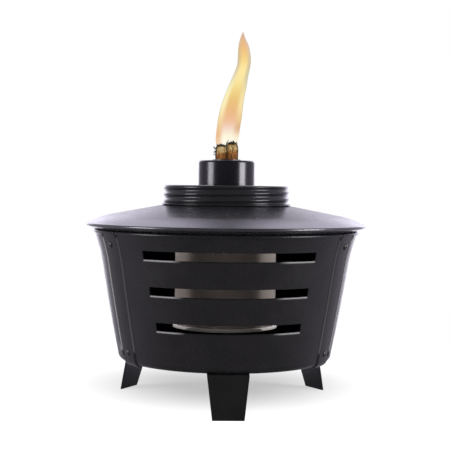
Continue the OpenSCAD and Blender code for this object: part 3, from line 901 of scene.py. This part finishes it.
def guard():
    """Drawn cup over the wick tube, with a rounded top edge."""
    hole = TUBE_R + SLIDE_GAP
    mid_r, mid_z = GUARD_R - GUARD_EDGE_R, GUARD_TOP_Z - GUARD_EDGE_R
    corners = [(GUARD_R, GUARD_Z, 0.2), *plain(arc(mid_r, mid_z, GUARD_EDGE_R, 0, 90, 10)),
               (hole, GUARD_TOP_Z, 0.2), (hole, GUARD_TOP_Z - GUARD_T, 0.1),
               *plain(arc(mid_r, mid_z, GUARD_EDGE_R - GUARD_T, 90, 0, 8)),
               (GUARD_R - GUARD_T, GUARD_Z, 0.2)]
    weighted(build("guard_shell", lathe(rounded(corners)), "guard_enamel", "cap", ["flame_guard"]))


def tube():
    """Ferrule round the wick, with a rolled rim over the guard."""
    inner = WICK_R + SLIDE_GAP
    corners = [(inner, TUBE_BOTTOM_Z, 0.15), (TUBE_R, TUBE_BOTTOM_Z, 0.15),
               (TUBE_R, RIM_TOP_Z - TUBE_T, 0.1), (RIM_R, RIM_TOP_Z - TUBE_T, 0.3),
               (RIM_R, RIM_TOP_Z, 0.35), (inner, RIM_TOP_Z, 0.3)]
    ferrule = lathe(rounded(corners), TUBE_SEGMENTS)
    weighted(build("tube_ferrule", ferrule, "tube_steel", "cap", ["wick_tube"]))


cap()
guard()
tube()
for node_name, node_slot in (("floor_plate", "bowl_enamel"), ("cap_gasket", "gasket_rubber"),
                             ("tube_washer", "gasket_rubber"), ("tube_nut", "tube_steel")):
    node = frame["nodes"][node_name]
    node.data.materials.clear()
    node.data.materials.append(MATERIALS[node_slot])


# -------- wick
CORE_TOP_Z = RIM_TOP_Z - 1
CORE_SIDES = 96
BRAID_STRANDS = 8
BRAID_TWIST = 9
BRAID_DEPTH = 0.5
LOBE_MIDDLE = 3.75
LOBE_W = 4.35
LOBE_D = 7.1
LOBE_SIDES = 64
FIBRE_W = 4.4


def strand(points, radii, sides=5):
    """A thin tube through points, with a radius at each."""
    loops = []
    for i, point in enumerate(points):
        ahead = points[min(i + 1, len(points) - 1)] - points[max(i - 1, 0)]
        across = ahead.cross(Vector((0.3, 1, 0.1))).normalized()
        up = ahead.cross(across).normalized()
        loops.append([point + radii[i] * (across * math.cos(a) + up * math.sin(a)) for a in circle(sides)])
    return loft(loops, False)


def strand_width(t):
    """Share of a frayed strand's full width, up its height from 0 to 1."""
    return math.sqrt(max(0.0, 1 - max(0, (t - 0.7) / 0.3) ** 2.2))


def swell(t):
    """How far a lobe of the frayed top bulges, up its height from 0 to 1."""
    return 0.9 + 0.16 * math.sin(math.pi * min(1, t * 1.25))


def held(point, gap):
    """A point of the wick's top kept within the bore of the tube, so that the wick can be drawn down."""
    reach = math.hypot(point.x, point.y)
    share = min(1, (WICK_R - gap) / max(reach, 0.01))
    return Vector((point.x * share, point.y * share, point.z))


def braid():
    """The round braid, up to just below the tube's rim."""
    loops = []
    for z in stations([WICK_BOTTOM_Z, CORE_TOP_Z], 1.1):
        loop = []
        for k in range(CORE_SIDES):
            angle = 360 * k / CORE_SIDES
            left = math.cos(math.radians(BRAID_STRANDS * (angle + z * BRAID_TWIST)))
            right = math.cos(math.radians(BRAID_STRANDS * (angle - z * BRAID_TWIST)))
            groove = BRAID_DEPTH * (1 - max(abs(left), abs(right)))
            loop.append(polar(WICK_R - 0.05 - groove, angle, z))
        loops.append(loop)
    return loft(loops, False)


def lobe(side, tall):
    """One of the two bulging halves of the frayed top; side is -1 on the left."""
    loops = []
    for t in between(0, 1, 26):
        width = max(0.03, strand_width(t))
        loop = []
        for a in circle(LOBE_SIDES):
            rough = noise.noise(Vector((math.cos(a) * 2.2 + side * 5, math.sin(a) * 2.2, t * 1.4))) * 0.9
            ridge = 0.28 * abs(math.sin(a * 7 + t * 2 * side))
            r_x = (LOBE_W * swell(t) + 0.35 * rough - ridge) * width
            r_y = (LOBE_D * swell(t) + 0.6 * rough - ridge) * width
            x = side * LOBE_MIDDLE + r_x * math.cos(a)
            loop.append(held(Vector((x, r_y * math.sin(a), CORE_TOP_Z + tall * t)), 0.1))
        loops.append(loop)
    return loft(loops, False)


def fibre(rng, side, tall):
    """A fibre that climbs the outside of a lobe."""
    a = rng.uniform(0, 2 * math.pi)
    start = rng.uniform(0.0, 0.5)
    end = start + rng.uniform(0.25, 0.62)
    sway = rng.uniform(-0.25, 0.25)
    lift = rng.uniform(0.05, 0.5)
    points, radii = [], []
    for u in between(0, 1, 7):
        t = start + (end - start) * u
        width = max(0.14, strand_width(min(t, 1)))
        turn = a + sway * u
        x = side * LOBE_MIDDLE + (FIBRE_W * swell(t) * width + lift * u) * math.cos(turn)
        y = (LOBE_D * swell(t) * width + lift * u) * math.sin(turn)
        points.append(held(Vector((x, y, CORE_TOP_Z + tall * t)), 0.35))
        radii.append(rng.uniform(0.22, 0.34) * (1 - 0.55 * u))
    return strand(points, radii)


def tuft(rng, side, tall):
    """A short loose end near the top of a lobe."""
    a = rng.uniform(0, 2 * math.pi)
    base = Vector((side * LOBE_MIDDLE + 3.2 * math.cos(a), 5.6 * math.sin(a),
                   CORE_TOP_Z + tall * rng.uniform(0.72, 0.9)))
    lean = Vector((math.cos(a) * 0.5 + rng.uniform(-0.4, 0.4),
                   math.sin(a) * 0.6 + rng.uniform(-0.4, 0.4), 1))
    length = rng.uniform(1.2, 2.6)
    curl = rng.uniform(-0.5, 0.5)
    steps = between(0, 1, 5)
    points = [base + lean * length * u + Vector((curl * u * u, curl * u * (1 - u), -0.5 * u * u))
              for u in steps]
    return strand([held(point, 0.3) for point in points], [0.26 * (1 - 0.75 * u) for u in steps])


def whisker(rng, tall):
    """A long loose end on the left."""
    start = Vector((-8.1, rng.uniform(-4, 1), CORE_TOP_Z + tall * rng.uniform(0.25, 0.8)))
    reach = rng.uniform(0.9, 1.9)
    rise = rng.uniform(-0.4, 1.6)
    steps = between(0, 1, 6)
    points = [start + Vector((-reach * math.sin(2.2 * u), 0.3 * u, rise * u)) for u in steps]
    return strand(points, [0.24 * (1 - 0.6 * u) for u in steps])


def sprout():
    """The end that stands up from the cleft."""
    steps = between(0, 1, 6)
    base = Vector((-0.6, -3.5, WICK_TOP_Z - 2.4))
    points = [base + Vector((1.9 * u * u, 0, 3.4 * u)) for u in steps]
    return strand(points, [0.34 * (1 - 0.5 * u) for u in steps])


def wick():
    """Braided body, and a frayed top of two bulging lobes, the left one lower."""
    rng = random.Random(11)
    height = WICK_TOP_Z - CORE_TOP_Z
    parts = [braid()]
    for side, tall in ((-1, height * (1 - WICK_LOW_STRAND / height)), (1, height)):
        parts.append(lobe(side, tall))
        parts += [fibre(rng, side, tall) for _ in range(150)]
        parts += [tuft(rng, side, tall) for _ in range(34)]
    parts += [whisker(rng, height) for _ in range(9)]
    build("wick_braid", merged(*parts, sprout()), "wick_fibre", "wick", ["wick"])


wick()


# -------- flame (not part of the object)
# height above the wick, then the left and the right edge
FLAME = [(-4, -6.5, 6.4), (0, -8.1, 8.0), (9.5, -7.5, 9.3), (17, -6.5, 10.4), (25, -4.7, 11.2),
         (33, -2.1, 12.4), (40.5, 0.9, 13.8), (48, 4.0, 14.9), (55, 6.6, 16.3), (62, 7.2, 16.4),
         (69, 7.6, 14.9), (75, 8.9, 12.2), (79, 10.6, 10.9)]
# height, then the red, green and blue that the flame shows on a white ground
FLAME_TINTS = {
    "left": [(0, 238, 200, 165), (5, 236, 190, 150), (15, 242, 214, 162), (26, 252, 238, 186),
             (38, 248, 238, 188), (49, 230, 214, 174), (60, 216, 194, 148), (71, 222, 188, 147),
             (79, 225, 190, 160)],
    "heart": [(0, 255, 250, 232), (4, 253, 245, 220), (9.5, 244, 216, 196), (15, 240, 192, 156),
              (22, 236, 186, 134), (30, 236, 196, 126), (38, 243, 216, 140), (46, 252, 231, 162),
              (54, 254, 228, 155), (60, 246, 212, 138), (68, 240, 190, 132), (75, 222, 182, 146),
              (79, 208, 174, 152)],
    "right": [(0, 254, 246, 226), (4, 248, 230, 200), (9.5, 224, 184, 146), (15, 234, 198, 146),
              (24, 247, 221, 165), (35, 243, 224, 168), (45, 222, 208, 166), (56, 214, 198, 160),
              (66, 226, 198, 166), (79, 215, 182, 156)],
}
FLAME_OUTLINE = 0.6
FLAME_ROWS = 110
FLAME_SIDES = 96
FLAME_DEPTH = 0.75


def spline(table, x):
    """Values at x on smooth lines through (x, value, ...) rows."""
    i = max(0, min(len(table) - 2, sum(1 for row in table if row[0] <= x) - 1))
    before, after = table[max(0, i - 1)], table[min(len(table) - 1, i + 2)]
    columns = list(zip(before, table[i], table[i + 1], after))
    x0, x1, x2, x3 = columns[0]
    t = (x - x1) / (x2 - x1)
    out = []
    for v0, v1, v2, v3 in columns[1:]:
        slope_1 = (v2 - v0) / (x2 - x0) * (x2 - x1)
        slope_2 = (v3 - v1) / (x3 - x1) * (x2 - x1)
        out.append(v1 + (v2 - v1) * smoothstep(t)
                   + (t ** 3 - 2 * t ** 2 + t) * slope_1 + (t ** 3 - t ** 2) * slope_2)
    return out


def linear(value):
    """Light for a colour value from 0 to 255."""
    return max(0.0, min(1.0, value / 255)) ** 2.2


def flame():
    """A hollow shape whose colours tint what is seen through it: half at its front, half at its back."""
    loops, tints = [], []
    for z in between(FLAME[0][0], FLAME[-1][0], FLAME_ROWS):
        left, right = spline(FLAME, z)
        half = max(0.05, (right - left) / 2)
        left_tint, heart, right_tint = [spline(table, max(0, z)) for table in FLAME_TINTS.values()]
        # the edge is darker from 6 mm above the wick, and fully so from 22 mm
        outlined = smoothstep((z - 6) / 16)
        loop = []
        for a in circle(FLAME_SIDES):
            across = math.cos(a)
            x, y = (left + right) / 2 + half * across, FLAME_DEPTH * half * math.sin(a)
            loop.append((x, y, WICK_TOP_Z + z))
            edge = left_tint if across < 0 else right_tint
            share = smoothstep((abs(across) - 0.3) / 0.5)
            line = 1 - (1 - FLAME_OUTLINE) * outlined * smoothstep((abs(across) - 0.92) / 0.08)
            tints.append([linear(h + (e - h) * share) * line for e, h in zip(edge, heart)])
        loops.append(loop)
    verts, faces = loft(loops, False)
    mesh = bpy.data.meshes.new("flame")
    # without its end caps
    mesh.from_pydata([tuple(Vector(v) * MM) for v in verts], [], faces[:-2])
    mesh.polygons.foreach_set("use_smooth", [True] * len(mesh.polygons))
    tint = mesh.color_attributes.new("tint", "FLOAT_COLOR", "POINT")
    tint.data.foreach_set("color", [c for t in tints for c in (*[max(0, x) ** 0.5 for x in t], 1)])
    material, stage = bare_material("flame")
    colour = stage.feed(stage.node("Attribute", attribute_name="tint"))
    stage.feed(stage.node("OutputMaterial"), stage.feed(stage.node("BsdfTransparent"), colour))
    mesh.materials.append(material)
    obj = added("flame", mesh)
    obj.visible_shadow = False
    obj.visible_diffuse = False
    obj.visible_glossy = False
    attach(obj, "wick")


flame()


# -------- floor, world, lamps and camera
# What reflections see in the studio, by direction from the torch: in front of it, 1 less the cosine
# of the angle from the front, then level
AHEAD = [(0.0, 0.05), (0.3, 0.1), (0.75, 0.3), (1.0, 0.34)]
# behind it, how far the direction's x is from the backdrop's middle, then level
BEHIND = [(0.0, 0.22), (0.05, 0.4), (0.14, 1.15), (0.22, 1.9), (0.42, 2.2), (0.58, 0.6), (1.0, 0.3)]
BACKDROP_MIDDLE = 0.045
# and the share of that by elevation in degrees
BY_HEIGHT = [(-90, 0.5), (-15, 1.0), (0, 1.2), (13, 1.5), (24, 0.85), (48, 0.95), (62, 0.85),
             (75, 0.3), (90, 0.2)]
STUDIO_TINT = (0.9, 0.86, 1.0)
AMBIENT = 0.6
LAMP_AIM = 0.13
FLOOR_TONE = 0.82
FLOOR_IN_REFLECTIONS = 0.04
# The floor near the torch, from one distance to another from the shadow's middle: how it glows, dimmer
# near the middle as a painted shadow, and the share of the lamps' light that it shows
SHADOW_MIDDLE = (0, 0.06, 0)
PAINTED_SHADOW = (0.024, 0.153, 0.44, 1.0)
LIT = (0.06, 0.3, 0.7, 1.0)

CAMERA_AZIMUTH = -2.2
CAMERA_DISTANCE = 0.82
CAMERA_HEIGHT = 0.1548
CAMERA_ROLL = 0.7
CAMERA_SHIFT = -0.002
AIM_HEIGHT = 0.1258
FIELD_WIDTH = 0.326
SENSOR_WIDTH = 36


def levels(stage, source, rows):
    """A number that follows (place, level) rows, with levels up to 2."""
    return stage.product(stage.ramp(source, [(place, level / 2) for place, level in rows]), 2.0)


def studio(stage, direction):
    """The level that a reflection sees along a direction from the torch."""
    flat = stage.feed(stage.node("VectorMath", operation="MULTIPLY"), direction, (1, 1, 0))
    x, y, _ = stage.split(stage.feed(stage.node("VectorMath", operation="NORMALIZE"), flat))
    ahead = levels(stage, stage.math("ADD", y, 1.0), AHEAD)
    behind = levels(stage, stage.math("ABSOLUTE", stage.math("SUBTRACT", x, BACKDROP_MIDDLE)), BEHIND)
    side = stage.math("GREATER_THAN", y, 0.0)
    return stage.math("ADD", stage.product(ahead, stage.math("SUBTRACT", 1.0, side)),
                      stage.product(behind, side))


def floor():
    """Pale floor: near the torch a painted shadow, where its glow dips, with a share of the real shadow;
    white further out.
    """
    mesh = bpy.data.meshes.new("floor")
    mesh.from_pydata([(-6, -6, 0), (6, -6, 0), (6, 6, 0), (-6, 6, 0)], [], [(0, 1, 2, 3)])
    material, stage = bare_material("floor")
    material.cycles.emission_sampling = "NONE"
    glossy, direct = stage.ray_masks()
    position = stage.node("TexCoord").outputs["Object"]
    away = stage.node("VectorMath", operation="DISTANCE")
    stage.feed(away, position, SHADOW_MIDDLE)
    away = away.outputs["Value"]
    # a painted shadow: the floor glows less near the shadow's middle
    painted_shadow = stage.feed(stage.node("MapRange", interpolation_type="SMOOTHSTEP"), away, *PAINTED_SHADOW)
    lit = stage.feed(stage.node("MapRange"), away, *LIT)
    tone = stage.mix(glossy, FLOOR_TONE, FLOOR_IN_REFLECTIONS)
    diffuse = stage.feed(stage.node("BsdfDiffuse"), stage.mix(stage.product(direct, lit), tone, 0))
    light = stage.math("ADD", stage.product(direct, painted_shadow), stage.product(studio(stage, position), glossy))
    emission = stage.feed(stage.node("Emission"), stage.mix(glossy, 1, STUDIO_TINT), light)
    stage.feed(stage.node("OutputMaterial"), stage.feed(stage.node("AddShader"), diffuse, emission))
    mesh.materials.append(material)
    obj = added("floor", mesh)


def world():
    """White to the camera; reflections see a bright backdrop behind and a dim room on the camera's side."""
    surroundings = bpy.data.worlds.new("studio")
    scene.world = surroundings
    surroundings.use_nodes = True
    surroundings.cycles.sampling_method = "NONE"
    stage = Nodes(surroundings.node_tree)
    glossy, direct = stage.ray_masks()
    direction = stage.node("TexCoord").outputs["Generated"]
    height = stage.feed(stage.node("MapRange"), stage.split(direction)[2], -1.0, 1.0, 0.0, 1.0)
    share = levels(stage, height, [((math.sin(math.radians(a)) + 1) / 2, level) for a, level in BY_HEIGHT])
    level = stage.product(studio(stage, direction), share)
    indirect = stage.mix(glossy, AMBIENT, stage.mix(1.0, level, STUDIO_TINT, "MULTIPLY"))
    stage.feed(stage.tree.nodes["Background"], stage.mix(direct, indirect, 1))


def lamp(name, azimuth, distance, height, width, tall, power, level=True, mirrored=True):
    """An area lamp that faces the torch, level with itself or aimed down at it."""
    light = bpy.data.lights.new(name, "AREA")
    light.shape = "RECTANGLE"
    light.size = width
    light.size_y = tall
    light.energy = power
    obj = added(name, light)
    obj.location = polar(distance, azimuth, height)
    aim = Vector((0, 0, height if level else LAMP_AIM)) - obj.location
    obj.rotation_euler = aim.to_track_quat("-Z", "Y").to_euler()
    obj.visible_camera = False
    obj.visible_glossy = mirrored


def camera():
    """At the photograph's angle and distance, framing one torch and its flame."""
    data = bpy.data.cameras.new("camera")
    data.sensor_width = SENSOR_WIDTH
    data.lens = SENSOR_WIDTH * CAMERA_DISTANCE / FIELD_WIDTH
    data.shift_x = CAMERA_SHIFT
    obj = added("camera", data)
    obj.location = polar(CAMERA_DISTANCE, CAMERA_AZIMUTH, CAMERA_HEIGHT)
    aim = Vector((0, 0, AIM_HEIGHT)) - obj.location
    roll = Matrix.Rotation(math.radians(CAMERA_ROLL), 4, "Z").to_quaternion()
    obj.rotation_mode = "QUATERNION"
    obj.rotation_quaternion = aim.to_track_quat("-Z", "Y") @ roll
    scene.camera = obj


floor()
world()
# tall strips whose upper halves the cover doesn't mirror, and two small lamps inside the bowl
for side, azimuth, width, power in (("left", -67, 0.6, 1), ("right", 67, 0.66, 1.41)):
    lamp(side + "_strip", CAMERA_AZIMUTH + azimuth, 1.5, 0.31, width, 0.6, 7.85 * power)
    lamp(side + "_strip_top", CAMERA_AZIMUTH + azimuth, 1.5, 0.96, width, 0.7, 9.15 * power, mirrored=False)
lamp("overhead", 0, 1.2, 1.4, 1.2, 1.2, 8, level=False, mirrored=False)
lamp("front_fill", CAMERA_AZIMUTH - 12, 1.2, 0.3, 0.5, 0.5, 6, level=False, mirrored=False)
lamp("can_glint_left", CAMERA_AZIMUTH - 100, 0.068, 0.08, 0.08, 0.085, 0.008)
lamp("can_glint_right", CAMERA_AZIMUTH + 98, 0.068, 0.08, 0.08, 0.085, 0.0115)
camera()
scene.view_settings.view_transform = "Standard"
